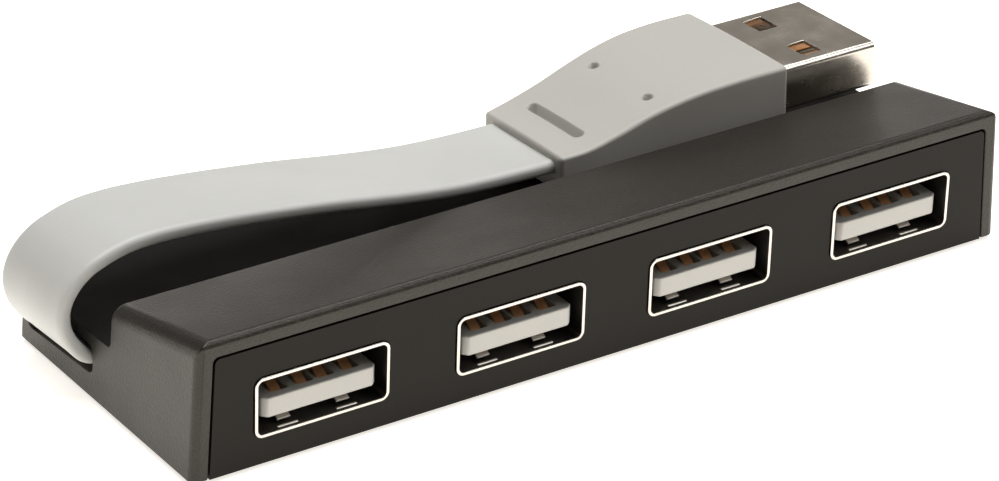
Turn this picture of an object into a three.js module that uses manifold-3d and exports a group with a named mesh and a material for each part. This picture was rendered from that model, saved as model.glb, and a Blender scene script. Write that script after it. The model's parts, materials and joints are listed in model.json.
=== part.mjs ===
// Four-port USB hub with a flat captive lead that folds back into a groove behind the ports.
// Millimetres, +Z up. X runs along the row of ports, the ports open towards -Y, and the
// origin is on the standing surface under the middle of the housing.
import * as THREE from 'three';
import { mergeVertices } from 'three/addons/utils/BufferGeometryUtils.js';
import Module from 'manifold-3d';

const wasm = await Module();
wasm.setup();

// ---- driving dimensions ---------------------------------------------------------------

const GAP = 0.3;                       // clearance between neighbouring pieces
const FOOT_LIFT = 0.4;                 // how far the rubber feet stand out of the bottom

const HALF_LENGTH = 42.3;              // housing, measured at the bottom
const END_DRAFT = 0.05;                // the ends lean in by this much per millimetre of height
const FRONT_Y = -14.25;
const BACK_Y = 14.75;
const WALL = 1.1;
const END_WALL = 1.5;
const CORNER_RADIUS = 0.8;             // upright corners at the front
const BACK_CORNER_RADIUS = 0.4;
const END_EDGE_RADIUS = 1.5;           // top edges of the two ends
const RIDGE_FRONT_Z = 12.96;
const RIDGE_SLOPE = 0.213;             // fall of the ridge top towards the back, per millimetre
const RIDGE_BACK_Y = -0.4;
const GROOVE_Z = 6.1;                  // groove floor where it meets the ridge
const FLOOR_TILT = THREE.MathUtils.degToRad(2);   // the groove floor leans back by this

const PANEL_THICK = 1.6;
const PANEL_HALF = 40.4;
const PANEL_TOP = 10.97;
const PANEL_GAP = 0.35;
const COVER_THICK = 1.2;

const PORT_COUNT = 4;
const PORT_PITCH = 19.84;
const PORT_Z = 5.36;
const PORT_WIDTH = 13.12;
const PORT_HEIGHT = 5.67;
const PORT_DEPTH = 12;
const PORT_FRONT_Y = -14.4;
const SHEET = 0.3;                     // wall of every stamped shell
const SHELL_RADIUS = 0.8;
const TONGUE_WIDTH = 11.1;
const TONGUE_THICK = 1.84;
const TONGUE_Z = 4.95;                 // centre height of the tongue
const TONGUE_RECESS = 0.38;
const TONGUE_CHAMFER = 0.46;
const CONTACT_OFFSETS = [-3.5, -1, 1, 3.5];
const CONTACT_WIDTH = 1;
const CONTACT_THICK = 0.2;

const BOARD_Z = 8.55;
const BOARD_THICK = 0.6;
const BOARD_HALF = 38;
const BOARD_FRONT_Y = -12.2;
const BOARD_BACK_Y = -2.9;

const LEAD_Y = 8.05;                   // the lead's own axes start here, over the groove floor
const LEAD_Z = 5.66;
const LEAD_TILT = THREE.MathUtils.degToRad(3);
const CABLE_WIDTH = 10.3;
const CABLE_THICK = 1.3;
const CABLE_STEP = 1.6;                // length of one step along the cable
const SLOT_HEIGHTS = [-3.7, -1.15];     // bottom and top of the slot for the lead, on its axes
const SLOT_MARGIN = 0.35;              // clearance at each edge of the cable
const ANCHOR_SIZE = [11, 1.6];
const ANCHOR_ENDS = [-34.2, -31.2];
const ANCHOR_HEIGHT = -2.68;

const PLUG_TIP_X = 40.5;
const PLUG_WIDTH = 12;
const PLUG_HEIGHT = 4.5;
const PLUG_CENTRE_H = 4.62;            // height of the middle of the plug, on the lead axes
const BOOT_REAR_X = 5.3;
const BOOT_FRONT_X = 29.3;
const BOOT_BOTTOM = 0.6;
const SOCKET_DEPTH = 1.5;              // the metal shell is let into the boot this far
const LATCH_HOLE_ENDS = [33.2, 35.3];
const LATCH_HOLE_Y = [-3.3, 3.3];
const LATCH_HOLE_HALF = 1.35;
const PLUG_BLOCK_WIDTH = 10.8;

const SCREW_PLACES = [[-12, 8.5], [12, 8.5]];
const FOOT_PLACES = [[-35, -8.6], [35, -8.6], [-35, 8.8], [35, 8.8]];
const FOOT_RADIUS = 3.2;
const FOOT_THICK = 0.8;

// Height of the ridge top and of the groove floor at a given y.
const ridgeZ = (y) => RIDGE_FRONT_Z - RIDGE_SLOPE * (y - FRONT_Y);
const grooveZ = (y) => GROOVE_Z - Math.tan(FLOOR_TILT) * (y - RIDGE_BACK_Y);

// ---- colours and materials ------------------------------------------------------------

const finish = (name, color, roughness, metalness = 0) => ({ name, color, roughness, metalness });
const FINISHES = {
  housing: finish('housing', 0x2a2826, 0.62),
  panel: finish('panel', 0x1f1e1c, 0.5),
  cover: finish('cover', 0x232220, 0.65),
  nickel: finish('nickel', 0xb9b4aa, 0.25, 1),
  insulator: finish('insulator', 0xb4b2ac, 0.5),
  contact: finish('contact', 0xa8683c, 0.35, 1),
  cable: finish('cable', 0xc4c4c0, 0.42),
  boot: finish('boot', 0xbcb9b2, 0.5),
  board: finish('board', 0x1f5a34, 0.5),
  chip: finish('chip', 0x161616, 0.5),
  tin: finish('tin', 0xb8b8b8, 0.3, 1),
  tantalum: finish('tantalum', 0xb98a2c, 0.5),
  rubber: finish('rubber', 0x1c1c1c, 0.85),
  steel: finish('steel', 0x8d8d8d, 0.35, 1),
  wire_red: finish('wire_red', 0xa02020, 0.5),
  wire_white: finish('wire_white', 0xd8d8d4, 0.5),
  wire_green: finish('wire_green', 0x2a7a3a, 0.5),
  wire_black: finish('wire_black', 0x181818, 0.5),
};

function piece(name, geometry, finishName) {
  const { color, roughness, metalness } = FINISHES[finishName];
  const flat = geometry.index ? geometry.toNonIndexed() : geometry;
  flat.computeVertexNormals();
  const mesh = new THREE.Mesh(flat, new THREE.MeshStandardMaterial({ color, roughness, metalness }));
  mesh.name = name;
  return mesh;
}

// ---- solids: joining and cutting ------------------------------------------------------

function solid(geometry) {
  const bare = new THREE.BufferGeometry();
  bare.setAttribute('position', geometry.getAttribute('position'));
  bare.setIndex(geometry.index);
  const merged = mergeVertices(bare, 1e-4);
  return new wasm.Manifold(new wasm.Mesh({
    numProp: 3,
    vertProperties: new Float32Array(merged.getAttribute('position').array),
    triVerts: new Uint32Array(merged.index.array),
  }));
}

function surface(body) {
  const mesh = body.getMesh();
  const geometry = new THREE.BufferGeometry();
  geometry.setAttribute('position', new THREE.BufferAttribute(mesh.vertProperties, 3));
  geometry.setIndex(new THREE.BufferAttribute(mesh.triVerts, 1));
  return geometry;
}

const cut = (body, ...tools) => tools.reduce((left, tool) => left.subtract(tool), body);
const join = (body, ...others) => others.reduce((whole, other) => whole.add(other), body);

// ---- outlines and prisms --------------------------------------------------------------

const EAST = new THREE.Vector3(1, 0, 0);
const NORTH = new THREE.Vector3(0, 1, 0);
const UP = new THREE.Vector3(0, 0, 1);

const extrude = (shape, depth, curveSegments) =>
  new THREE.ExtrudeGeometry(shape, { depth, bevelEnabled: false, curveSegments });

// A prism along X from an outline in (y, z), along Y from one in (x, z), and up Z from (x, y).
function alongX(shape, from, to, segments = 4) {
  const basis = new THREE.Matrix4().makeBasis(NORTH, UP, EAST).setPosition(from, 0, 0);
  return extrude(shape, to - from, segments).applyMatrix4(basis);
}

function alongY(shape, from, to, segments = 4) {
  const basis = new THREE.Matrix4().makeBasis(EAST, UP, NORTH.clone().negate()).setPosition(0, to, 0);
  return extrude(shape, to - from, segments).applyMatrix4(basis);
}

const alongZ = (shape, from, to, segments = 4) => extrude(shape, to - from, segments).translate(0, 0, from);

function box(x0, x1, y0, y1, z0, z1) {
  return new THREE.BoxGeometry(x1 - x0, y1 - y0, z1 - z0)
    .translate((x0 + x1) / 2, (y0 + y1) / 2, (z0 + z1) / 2);
}

// An outline through corners [x, y, radius], going round anticlockwise; radius 0 is a sharp corner.
function outline(corners) {
  const shape = new THREE.Shape();
  const count = corners.length;
  corners.forEach(([x, y, radius = 0], i) => {
    const here = new THREE.Vector2(x, y);
    const before = new THREE.Vector2(...corners[(i + count - 1) % count]);
    const after = new THREE.Vector2(...corners[(i + 1) % count]);
    const back = before.sub(here).normalize();
    const ahead = after.sub(here).normalize();
    if (!radius) {
      if (i === 0) shape.moveTo(x, y); else shape.lineTo(x, y);
      return;
    }
    const half = Math.acos(back.dot(ahead)) / 2;
    const reach = radius / Math.tan(half);
    const centre = back.clone().add(ahead).normalize().multiplyScalar(radius / Math.sin(half)).add(here);
    const start = back.multiplyScalar(reach).add(here);
    const end = ahead.multiplyScalar(reach).add(here);
    if (i === 0) shape.moveTo(start.x, start.y); else shape.lineTo(start.x, start.y);
    const angle = (p) => Math.atan2(p.y - centre.y, p.x - centre.x);
    const turn = THREE.MathUtils.euclideanModulo(angle(end) - angle(start) + Math.PI, 2 * Math.PI) - Math.PI;
    shape.absarc(centre.x, centre.y, radius, angle(start), angle(start) + turn, turn < 0);
  });
  return shape;
}

const rectangle = (x0, x1, y0, y1, radius = 0) =>
  outline([[x0, y0, radius], [x1, y0, radius], [x1, y1, radius], [x0, y1, radius]]);
const centredRectangle = (width, height, radius, x = 0, y = 0) =>
  rectangle(x - width / 2, x + width / 2, y - height / 2, y + height / 2, radius);

function disc(x, y, radius, from, to, segments = 20) {
  const geometry = new THREE.CylinderGeometry(radius, radius, to - from, segments);
  return geometry.rotateX(Math.PI / 2).translate(x, y, (from + to) / 2);
}

// ---- housing --------------------------------------------------------------------------

// Leans the ends in: x shrinks evenly with height.
function drafted(geometry) {
  const position = geometry.getAttribute('position');
  for (let i = 0; i < position.count; i += 1) {
    position.setX(i, position.getX(i) * (1 - (END_DRAFT / HALF_LENGTH) * position.getZ(i)));
  }
  return geometry;
}

function housingBlock() {
  const profile = outline([
    [FRONT_Y, 0], [BACK_Y, 0, 0.3], [BACK_Y, grooveZ(BACK_Y), 0.2], [RIDGE_BACK_Y, GROOVE_Z, 0.5],
    [RIDGE_BACK_Y, ridgeZ(RIDGE_BACK_Y), 0.4], [FRONT_Y, RIDGE_FRONT_Z, 0.6],
  ]);
  const plan = outline([
    [-HALF_LENGTH, FRONT_Y, CORNER_RADIUS], [HALF_LENGTH, FRONT_Y, CORNER_RADIUS],
    [HALF_LENGTH, BACK_Y, BACK_CORNER_RADIUS], [-HALF_LENGTH, BACK_Y, BACK_CORNER_RADIUS],
  ]);
  const roundedEnds = outline([
    [-HALF_LENGTH, -10], [HALF_LENGTH, -10],
    [HALF_LENGTH, RIDGE_FRONT_Z, END_EDGE_RADIUS], [-HALF_LENGTH, RIDGE_FRONT_Z, END_EDGE_RADIUS],
  ]);
  // The rounded top of the ends follows the slope of the ridge.
  const slope = new THREE.Matrix4().makeShear(0, 0, 0, -RIDGE_SLOPE, 0, 0)
    .setPosition(0, 0, RIDGE_SLOPE * FRONT_Y);
  const ends = alongY(roundedEnds, FRONT_Y - 1, BACK_Y + 1).applyMatrix4(slope);
  return solid(alongX(profile, -HALF_LENGTH - 1, HALF_LENGTH + 1))
    .intersect(solid(alongZ(plan, -1, RIDGE_FRONT_Z + 1)))
    .intersect(solid(ends));
}

function topShell() {
  const innerFront = FRONT_Y + PANEL_THICK;
  const innerStep = RIDGE_BACK_Y - WALL;
  const innerBack = BACK_Y - WALL;
  const cavity = outline([
    [innerFront, -1], [innerBack, -1], [innerBack, grooveZ(innerBack) - WALL],
    [innerStep, grooveZ(innerStep) - WALL], [innerStep, ridgeZ(innerStep) - WALL],
    [innerFront, ridgeZ(innerFront) - WALL],
  ]);
  const inside = HALF_LENGTH - END_WALL;
  const windowHalf = PANEL_HALF + PANEL_GAP;
  const window = outline([
    [-windowHalf, -1], [windowHalf, -1],
    [windowHalf, PANEL_TOP + PANEL_GAP, 0.5], [-windowHalf, PANEL_TOP + PANEL_GAP, 0.5],
  ]);
  const hollow = cut(
    housingBlock(),
    solid(alongX(cavity, -inside, inside)),
    solid(alongY(window, FRONT_Y - 1, innerFront + 0.05)),
  );
  const leaning = solid(drafted(surface(hollow)));
  const posts = SCREW_PLACES.map(([x, y]) => solid(disc(x, y, 2.2, COVER_THICK + GAP, grooveZ(y) - 0.6)));
  const pilots = SCREW_PLACES.map(([x, y]) => solid(disc(x, y, 1.05, 0, grooveZ(y) - WALL - 0.1)));
  return surface(cut(join(leaning, ...posts), ...pilots, solid(leadSlot())));
}

// The slot that the flat cable comes out of, in the left end.
function leadSlot() {
  const half = CABLE_WIDTH / 2 + SLOT_MARGIN;
  const slot = rectangle(-half, half, ...SLOT_HEIGHTS, 0.6);
  return alongX(slot, -HALF_LENGTH - 3, -HALF_LENGTH + END_WALL + 1).applyMatrix4(leadMatrix());
}

function frontPanel() {
  const top = PANEL_HALF - END_DRAFT * PANEL_TOP;
  const plate = outline([
    [-PANEL_HALF, 0], [PANEL_HALF, 0], [top, PANEL_TOP, 0.5], [-top, PANEL_TOP, 0.5],
  ]);
  portXs().forEach((x) => {
    const hole = centredRectangle(PORT_WIDTH + 2 * GAP, PORT_HEIGHT + 2 * GAP, SHELL_RADIUS + GAP, x, PORT_Z);
    plate.holes.push(hole);
  });
  return alongY(plate, FRONT_Y, FRONT_Y + PANEL_THICK - GAP);
}

function bottomCover() {
  const half = HALF_LENGTH - END_WALL - 0.4;
  const plan = rectangle(-half, half, FRONT_Y + PANEL_THICK + 0.1, BACK_Y - WALL - GAP, 0.6);
  const recesses = FOOT_PLACES.map(([x, y]) => solid(disc(x, y, FOOT_RADIUS + GAP, -1, 0.5)));
  const bores = SCREW_PLACES.flatMap(([x, y]) => [
    solid(disc(x, y, 2.3, -1, 0.7)), solid(disc(x, y, 1.05, 0, COVER_THICK + 1)),
  ]);
  return surface(cut(solid(alongZ(plan, 0, COVER_THICK)), ...recesses, ...bores));
}

// A pan-head screw: head in the cover's counterbore, shank up into the post.
function screw(x, y) {
  const profile = [[0, 0.1], [1.7, 0.1], [2, 0.35], [2, 0.6], [0.75, 0.6], [0.75, 3.2], [0, 3.4]];
  return new THREE.LatheGeometry(profile.map(([r, h]) => new THREE.Vector2(r, h)), 16)
    .rotateX(Math.PI / 2).translate(x, y, 0);
}

const foot = (x, y) => disc(x, y, FOOT_RADIUS, -FOOT_LIFT, FOOT_THICK - FOOT_LIFT);

// ---- ports ----------------------------------------------------------------------------

function portXs() {
  return Array.from({ length: PORT_COUNT }, (_, i) => (i - (PORT_COUNT - 1) / 2) * PORT_PITCH);
}

function portShell(x) {
  const back = PORT_FRONT_Y + PORT_DEPTH;
  const outer = centredRectangle(PORT_WIDTH, PORT_HEIGHT, SHELL_RADIUS, x, PORT_Z);
  const inner = centredRectangle(
    PORT_WIDTH - 2 * SHEET, PORT_HEIGHT - 2 * SHEET, SHELL_RADIUS - SHEET, x, PORT_Z,
  );
  return surface(cut(
    solid(alongY(outer, PORT_FRONT_Y, back)),
    solid(alongY(inner, PORT_FRONT_Y - 1, back - SHEET)),
  ));
}

// The tongue with its four contact grooves, on the block that closes the back of the shell.
function portTongue(x) {
  const front = PORT_FRONT_Y + TONGUE_RECESS;
  const back = PORT_FRONT_Y + PORT_DEPTH - SHEET - GAP;
  const half = TONGUE_WIDTH / 2;
  const top = TONGUE_Z + TONGUE_THICK / 2;
  const plan = outline([
    [x - half + TONGUE_CHAMFER, front], [x + half - TONGUE_CHAMFER, front],
    [x + half, front + TONGUE_CHAMFER], [x + half, back - 1], [x - half, back - 1],
    [x - half, front + TONGUE_CHAMFER],
  ]);
  const blockHalf = PORT_WIDTH / 2 - SHEET - GAP;
  const blockHalfHeight = PORT_HEIGHT / 2 - SHEET - GAP;
  const block = box(
    x - blockHalf, x + blockHalf, back - 2.6, back, PORT_Z - blockHalfHeight, PORT_Z + blockHalfHeight,
  );
  const grooves = CONTACT_OFFSETS.map((dx) => solid(box(
    x + dx - CONTACT_WIDTH / 2 - GAP, x + dx + CONTACT_WIDTH / 2 + GAP,
    front + 0.9, back - 2, top - CONTACT_THICK - 0.65, top + 1,
  )));
  return surface(cut(
    join(solid(alongZ(plan, TONGUE_Z - TONGUE_THICK / 2, top)), solid(block)), ...grooves,
  ));
}

function portContact(x) {
  const front = PORT_FRONT_Y + TONGUE_RECESS + 1.2;
  const top = TONGUE_Z + TONGUE_THICK / 2 - 0.25;
  return box(x - CONTACT_WIDTH / 2, x + CONTACT_WIDTH / 2, front, front + 6.2, top - CONTACT_THICK, top);
}

// ---- electronics ----------------------------------------------------------------------

const circuitBoard = () => box(
  -BOARD_HALF, BOARD_HALF, BOARD_FRONT_Y, BOARD_BACK_Y, BOARD_Z, BOARD_Z + BOARD_THICK,
);

const boardTop = BOARD_Z + BOARD_THICK + 0.05;
const boardUnder = BOARD_Z - 0.05;

// Name, finish, centre x and y, size along x, y and z, and whether it hangs under the board.
const BOARD_PARTS = [
  ['hub_controller', 'chip', 4, -9.6, 4.4, 4.4, 0.75, false],
  ['crystal', 'tin', -6, -9.6, 5, 3.2, 0.7, false],
  ['voltage_regulator', 'chip', 14, -9.6, 2.9, 1.6, 0.7, false],
  ['polyfuse', 'wire_green', -14, -9.6, 4.5, 3.2, 0.6, false],
  ['tank_capacitor', 'tantalum', 0, -8, 2.8, 3.5, 1.9, true],
  ['port_capacitor', 'tantalum', 19.84, -8, 2.8, 3.5, 1.9, true],
];

function boardPart([, , x, y, sizeX, sizeY, sizeZ, under]) {
  const from = under ? boardUnder - sizeZ : boardTop;
  return box(x - sizeX / 2, x + sizeX / 2, y - sizeY / 2, y + sizeY / 2, from, from + sizeZ);
}

// ---- lead -----------------------------------------------------------------------------

// The lead lies in its own frame: x as the hub's, y across the cable, z up.
function leadMatrix() {
  return new THREE.Matrix4().makeRotationX(-LEAD_TILT).setPosition(0, LEAD_Y, LEAD_Z);
}

// Centre line of the cable as [x, height]. Its two ends slope a little,
// so that the swept section starts with its width across the route.
const EXIT_ROUTE = [
  [-34.5, -2.68], [-37, -2.71], [-39.4, -2.73], [-41.3, -2.63], [-42.35, -2.18], [-43.08, -1.4],
];
const ARM_ROUTE = [
  [-43.27, -1.13], [-43.84, -0.18], [-44.2, 0.97], [-44.2, 2.17], [-43.8, 3.36], [-42.94, 4.53],
  [-41.68, 5.52], [-40, 6.22], [-38, 6.74], [-35, 6.94], [-32, 6.82], [-27.5, 6.42], [-23, 5.89],
  [-18, 5.22], [-13.5, 4.49], [-9, 3.8], [-5, 3.32], [-1, 3.06], [2, 2.96], [5, 2.9],
];

function flatCable(route) {
  const curve = new THREE.CatmullRomCurve3(route.map(([x, h]) => new THREE.Vector3(x, 0, h)));
  return new THREE.ExtrudeGeometry(centredRectangle(CABLE_WIDTH, CABLE_THICK, CABLE_THICK / 2 - 0.01), {
    steps: Math.ceil(curve.getLength() / CABLE_STEP), extrudePath: curve, curveSegments: 2,
  });
}

const leadAnchor = () => alongX(centredRectangle(...ANCHOR_SIZE, 0.4, 0, ANCHOR_HEIGHT), ...ANCHOR_ENDS, 2);

// Side view of the boot's top: it rises from the cable in a long S to the plug.
const BOOT_TOP = [[5.3, 4.15], [8, 4.5], [12, 5.62], [16, 6.84], [20, 7.6], [24, 7.92], [29.3, 7.92]];
// Half width of the boot: it swells from the cable to the plug.
const BOOT_HALF_WIDTH = [[5.3, 6.2], [8, 6.6], [14, 6.8], [20, 7.4], [25, 7.7], [29.3, 7.7]];

function boot() {
  const side = new THREE.Shape([new THREE.Vector2(BOOT_FRONT_X, BOOT_BOTTOM)]);
  const rising = BOOT_TOP.map(([x, h]) => new THREE.Vector2(x, h));
  side.lineTo(...BOOT_TOP.at(-1));
  side.splineThru(rising.slice(0, -1).reverse());
  side.lineTo(BOOT_REAR_X, BOOT_BOTTOM);
  const plan = new THREE.Shape();
  const swell = BOOT_HALF_WIDTH.map(([x, y]) => new THREE.Vector2(x, y));
  plan.moveTo(BOOT_REAR_X, -swell[0].y);
  plan.splineThru(swell.slice(1).map((p) => new THREE.Vector2(p.x, -p.y)));
  plan.lineTo(BOOT_FRONT_X, swell.at(-1).y);
  plan.splineThru(swell.slice(0, -1).reverse());
  const socket = centredRectangle(PLUG_WIDTH + 2 * GAP, PLUG_HEIGHT + 2 * GAP, 0.9, 0, PLUG_CENTRE_H);
  return surface(cut(
    solid(alongY(side, -9, 9, 1)).intersect(solid(alongZ(plan, 0, 9, 1))),
    solid(alongX(socket, BOOT_FRONT_X - SOCKET_DEPTH, BOOT_FRONT_X + 1)),
  ));
}

function plugShell() {
  const root = BOOT_FRONT_X - SOCKET_DEPTH + GAP;
  const outer = centredRectangle(PLUG_WIDTH, PLUG_HEIGHT, 0.6, 0, PLUG_CENTRE_H);
  const inner = centredRectangle(PLUG_WIDTH - 2 * SHEET, PLUG_HEIGHT - 2 * SHEET, 0.3, 0, PLUG_CENTRE_H);
  const holes = LATCH_HOLE_Y.map((y) => solid(alongZ(
    rectangle(...LATCH_HOLE_ENDS, y - LATCH_HOLE_HALF, y + LATCH_HOLE_HALF),
    PLUG_CENTRE_H - PLUG_HEIGHT, PLUG_CENTRE_H + PLUG_HEIGHT,
  )));
  return surface(cut(
    solid(alongX(outer, root, PLUG_TIP_X)), solid(alongX(inner, root + SHEET, PLUG_TIP_X + 1)), ...holes,
  ));
}

const plugBlockTop = PLUG_CENTRE_H + 0.05;

function plugInsulator() {
  const from = BOOT_FRONT_X - SOCKET_DEPTH + 2 * GAP + SHEET;
  const bottom = PLUG_CENTRE_H - PLUG_HEIGHT / 2 + SHEET + GAP;
  const half = PLUG_BLOCK_WIDTH / 2;
  const block = rectangle(-half, half, bottom, plugBlockTop, 0.2);
  const grooves = CONTACT_OFFSETS.map((y) => solid(box(
    from + 1, PLUG_TIP_X - 1.4, y - CONTACT_WIDTH / 2 - GAP, y + CONTACT_WIDTH / 2 + GAP,
    plugBlockTop - CONTACT_THICK - GAP, plugBlockTop + 1,
  )));
  return surface(cut(solid(alongX(block, from, PLUG_TIP_X - 0.5, 2)), ...grooves));
}

const plugContact = (y) => box(
  BOOT_FRONT_X + 1, PLUG_TIP_X - 1.8, y - CONTACT_WIDTH / 2, y + CONTACT_WIDTH / 2,
  plugBlockTop - CONTACT_THICK, plugBlockTop,
);

// Four wires from the lead's anchor to the underside of the board, between the first two ports.
const WIRES = ['red', 'white', 'green', 'black'];
const WIRE_RADIUS = 0.4;

function wire(i) {
  const y = LEAD_Y - 0.2 + (i - 1.5) * 1.7;
  const x = -21.5 + i * 1.1;
  const route = [
    [-30.9, y, 2.9], [-27.5, y, 2.9], [x - 2.2, y - 2.5, 2.9], [x, 0.5, 3],
    [x, -2.5, 4], [x, -4.2, 6.2], [x, -4.6, boardUnder - 0.25],
  ];
  const curve = new THREE.CatmullRomCurve3(route.map((p) => new THREE.Vector3(...p)));
  const section = new THREE.Shape().absarc(0, 0, WIRE_RADIUS, 0, 2 * Math.PI, false);
  return new THREE.ExtrudeGeometry(section, { steps: 14, extrudePath: curve, curveSegments: 6 });
}

// ---- assembly -------------------------------------------------------------------------

function lead() {
  const group = new THREE.Group();
  group.applyMatrix4(leadMatrix());
  group.add(
    piece('cable_exit', flatCable(EXIT_ROUTE), 'cable'),
    piece('cable_arm', flatCable(ARM_ROUTE), 'cable'),
    piece('cable_anchor', leadAnchor(), 'cable'),
    piece('plug_boot', boot(), 'boot'),
    piece('plug_shell', plugShell(), 'nickel'),
    piece('plug_insulator', plugInsulator(), 'insulator'),
    ...CONTACT_OFFSETS.map((y, i) => piece(`plug_contact_${i + 1}`, plugContact(y), 'contact')),
  );
  return group;
}

function ports() {
  return portXs().flatMap((x, i) => [
    piece(`port_shell_${i + 1}`, portShell(x), 'nickel'),
    piece(`port_tongue_${i + 1}`, portTongue(x), 'insulator'),
    ...CONTACT_OFFSETS.map((dx, k) => (
      piece(`port_contact_${i + 1}_${k + 1}`, portContact(x + dx), 'contact')
    )),
  ]);
}

const hub = new THREE.Group();
hub.position.z = FOOT_LIFT;
hub.add(
  piece('top_shell', topShell(), 'housing'),
  piece('front_panel', frontPanel(), 'panel'),
  piece('bottom_cover', bottomCover(), 'cover'),
  ...FOOT_PLACES.map(([x, y], i) => piece(`foot_${i + 1}`, foot(x, y), 'rubber')),
  ...SCREW_PLACES.map(([x, y], i) => piece(`cover_screw_${i + 1}`, screw(x, y), 'steel')),
  ...ports(),
  piece('circuit_board', circuitBoard(), 'board'),
  ...BOARD_PARTS.map((part) => piece(part[0], boardPart(part), part[1])),
  ...WIRES.map((colour, i) => piece(`wire_${colour}`, wire(i), `wire_${colour}`)),
  lead(),
);

export default hub;
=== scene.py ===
"""A desktop hub: a wedge housing with four front sockets and a short flat lead kept in a groove.

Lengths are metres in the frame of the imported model: X runs along the sockets, which open towards
-Y, and +Z is up from the standing surface. The lead has axes of its own, because the groove that
it lies in leans back: x as the hub's, v across the cable and n up from the groove's floor.
"""

import json
import logging
import math
from dataclasses import dataclass
from enum import Enum

import bmesh
import bpy
import numpy as np
from mathutils import Matrix, Vector


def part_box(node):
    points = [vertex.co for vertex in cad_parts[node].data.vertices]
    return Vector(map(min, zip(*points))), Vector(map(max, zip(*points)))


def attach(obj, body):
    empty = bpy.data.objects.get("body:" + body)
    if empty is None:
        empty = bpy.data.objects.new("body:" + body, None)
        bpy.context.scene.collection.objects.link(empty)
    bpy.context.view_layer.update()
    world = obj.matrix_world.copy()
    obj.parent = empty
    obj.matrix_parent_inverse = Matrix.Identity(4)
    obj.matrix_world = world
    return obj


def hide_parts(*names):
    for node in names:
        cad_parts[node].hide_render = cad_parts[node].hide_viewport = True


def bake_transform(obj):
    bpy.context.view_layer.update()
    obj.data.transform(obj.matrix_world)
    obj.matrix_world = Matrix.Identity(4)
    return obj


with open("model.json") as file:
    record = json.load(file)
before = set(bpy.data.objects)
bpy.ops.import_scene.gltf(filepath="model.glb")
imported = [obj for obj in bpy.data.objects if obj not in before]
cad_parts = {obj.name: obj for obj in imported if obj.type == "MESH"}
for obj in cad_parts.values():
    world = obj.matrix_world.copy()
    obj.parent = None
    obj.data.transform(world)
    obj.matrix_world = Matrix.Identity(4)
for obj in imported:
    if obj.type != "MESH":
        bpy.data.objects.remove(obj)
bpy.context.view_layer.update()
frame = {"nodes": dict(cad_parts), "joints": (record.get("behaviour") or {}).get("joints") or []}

CM = 0.01
PORTS = 4
CONTACTS = 4
LOG = logging.getLogger("hub")


class Body(Enum):
    """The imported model's rigid bodies."""

    HOUSING = "housing"
    LEAD = "lead"


class Side(Enum):
    """Which end of a swept piece is meant."""

    START = 0
    END = -1


Triple = tuple[float, float, float]
NodeSocket = bpy.types.NodeSocket


def add_object(name: str, data: bpy.types.ID) -> bpy.types.Object:
    """Makes an object of that data and puts it in the scene."""
    made = bpy.data.objects.new(name, data)
    bpy.context.scene.collection.objects.link(made)
    return made


# ---- materials ------------------------------------------------------------------------


class Sketch:
    """A material's node tree round one Principled shader, with short calls for its nodes."""

    def __init__(self, name: str) -> None:
        """Makes an empty material of that name."""
        self.material = bpy.data.materials.new(name)
        self.material.use_nodes = True
        self.nodes = self.material.node_tree.nodes
        self.links = self.material.node_tree.links
        self.shader = self.nodes["Principled BSDF"]
        self.place = self.nodes.new("ShaderNodeTexCoord").outputs["Object"]

    def set(self, **values: object) -> None:
        """Sets the shader's own sockets, named with underscores for spaces."""
        for name, value in values.items():
            self.shader.inputs[name.replace("_", " ")].default_value = value

    def feed(self, name: str, socket: NodeSocket) -> None:
        """Links a socket to one of the shader's inputs."""
        self.links.new(socket, self.shader.inputs[name])

    def stretched(self, source: NodeSocket, scale: Triple) -> NodeSocket:
        """Returns the coordinates scaled along each axis."""
        node = self.nodes.new("ShaderNodeMapping")
        node.inputs["Scale"].default_value = scale
        self.links.new(source, node.inputs["Vector"])
        return node.outputs["Vector"]

    def noise(self, size: float, detail: float = 2.0, place: NodeSocket | None = None) -> NodeSocket:
        """Returns smooth noise between 0 and 1 whose lumps are about that size.

        Args:
            size: metres, or the unit of place where that is given.
            detail: octaves of finer noise.
            place: coordinates to use in place of the object's.
        """
        node = self.nodes.new("ShaderNodeTexNoise")
        node.inputs["Scale"].default_value = 1.0 / size
        node.inputs["Detail"].default_value = detail
        self.links.new(place or self.place, node.inputs["Vector"])
        return node.outputs["Fac"]

    def cells(self, size: float) -> NodeSocket:
        """Returns the distance to the nearest of a scatter of points that far apart."""
        node = self.nodes.new("ShaderNodeTexVoronoi")
        node.inputs["Scale"].default_value = 1.0 / size
        self.links.new(self.place, node.inputs["Vector"])
        return node.outputs["Distance"]

    def span(self, value: NodeSocket, low: float, high: float) -> NodeSocket:
        """Returns value's middle range, 0.3 to 0.7, spread over low to high."""
        node = self.nodes.new("ShaderNodeMapRange")
        node.inputs["From Min"].default_value = 0.3
        node.inputs["From Max"].default_value = 0.7
        node.inputs["To Min"].default_value = low
        node.inputs["To Max"].default_value = high
        self.links.new(value, node.inputs["Value"])
        return node.outputs["Result"]

    def shade(self, value: NodeSocket, colour: Triple, spread: float) -> NodeSocket:
        """Returns the colour made lighter and darker by up to spread, as value goes from 0.3 to 0.7."""
        node = self.nodes.new("ShaderNodeMix")
        node.data_type = "RGBA"
        node.inputs[6].default_value = (*[c * (1 - spread) for c in colour], 1)
        node.inputs[7].default_value = (*[min(1.0, c * (1 + spread)) for c in colour], 1)
        self.links.new(self.span(value, 0, 1), node.inputs[0])
        return node.outputs[2]

    def bump(self, height: NodeSocket, depth: float, under: NodeSocket | None = None) -> NodeSocket:
        """Returns a normal bent by height, where depth is how deep the relief goes, in metres."""
        node = self.nodes.new("ShaderNodeBump")
        node.inputs["Strength"].default_value = 1.0
        node.inputs["Distance"].default_value = depth
        self.links.new(height, node.inputs["Height"])
        if under:
            self.links.new(under, node.inputs["Normal"])
        return node.outputs["Normal"]


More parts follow.
